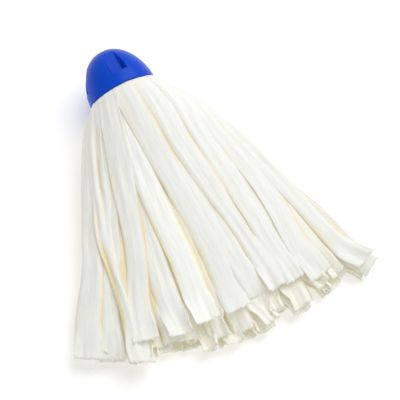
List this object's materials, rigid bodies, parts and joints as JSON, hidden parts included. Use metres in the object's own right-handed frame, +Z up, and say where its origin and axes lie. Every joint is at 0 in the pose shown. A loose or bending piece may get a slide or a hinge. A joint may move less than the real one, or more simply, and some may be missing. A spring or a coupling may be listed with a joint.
{
  "type": "strip mop head",
  "caption": "Mop head with a domed plastic screw socket whose folded cloth strips fan out flat in overlapping layers.",
  "frame": {"origin": "on the surface that the head lies on, under the middle of its bounding box", "axes": "+Z up from the surface, +Y the way the handle leaves, seen from above; the strips fan out towards -Y"},
  "size_m": [0.2678, 0.3178, 0.0678],
  "materials": {
    "socket_blue": "satin, injection moulded",
    "inner_plastic": "matt, injection moulded",
    "cloth": "soft unwoven cloth, matt"
  },
  "bodies": {
    "mop_head": {"socket_shell": "socket_blue", "retaining_plug": "inner_plastic", "fold_ring": "inner_plastic", "strip_a1": "cloth", "strip_a2": "cloth", "strip_a3": "cloth", "strip_a4": "cloth", "strip_a5": "cloth", "strip_a6": "cloth", "strip_a7": "cloth", "strip_a8": "cloth", "strip_a9": "cloth", "strip_a10": "cloth", "strip_a11": "cloth", "strip_a12": "cloth", "strip_a13": "cloth", "strip_b1": "cloth", "strip_b2": "cloth", "strip_b3": "cloth", "strip_b4": "cloth", "strip_b5": "cloth", "strip_b6": "cloth", "strip_b7": "cloth", "strip_b8": "cloth", "strip_b9": "cloth", "strip_b10": "cloth", "strip_b11": "cloth", "strip_b12": "cloth", "strip_b13": "cloth", "strip_c1": "cloth", "strip_c2": "cloth", "strip_c3": "cloth", "strip_c4": "cloth", "strip_c5": "cloth", "strip_c6": "cloth", "strip_c7": "cloth", "strip_c8": "cloth", "strip_c9": "cloth", "strip_c10": "cloth", "strip_c11": "cloth", "strip_c12": "cloth", "strip_c13": "cloth", "strip_d1": "cloth", "strip_d2": "cloth", "strip_d3": "cloth", "strip_d4": "cloth", "strip_d5": "cloth", "strip_d6": "cloth", "strip_d7": "cloth", "strip_d8": "cloth", "strip_d9": "cloth", "strip_d10": "cloth", "strip_d11": "cloth", "strip_d12": "cloth", "strip_d13": "cloth"}
  },
  "joints": []
}
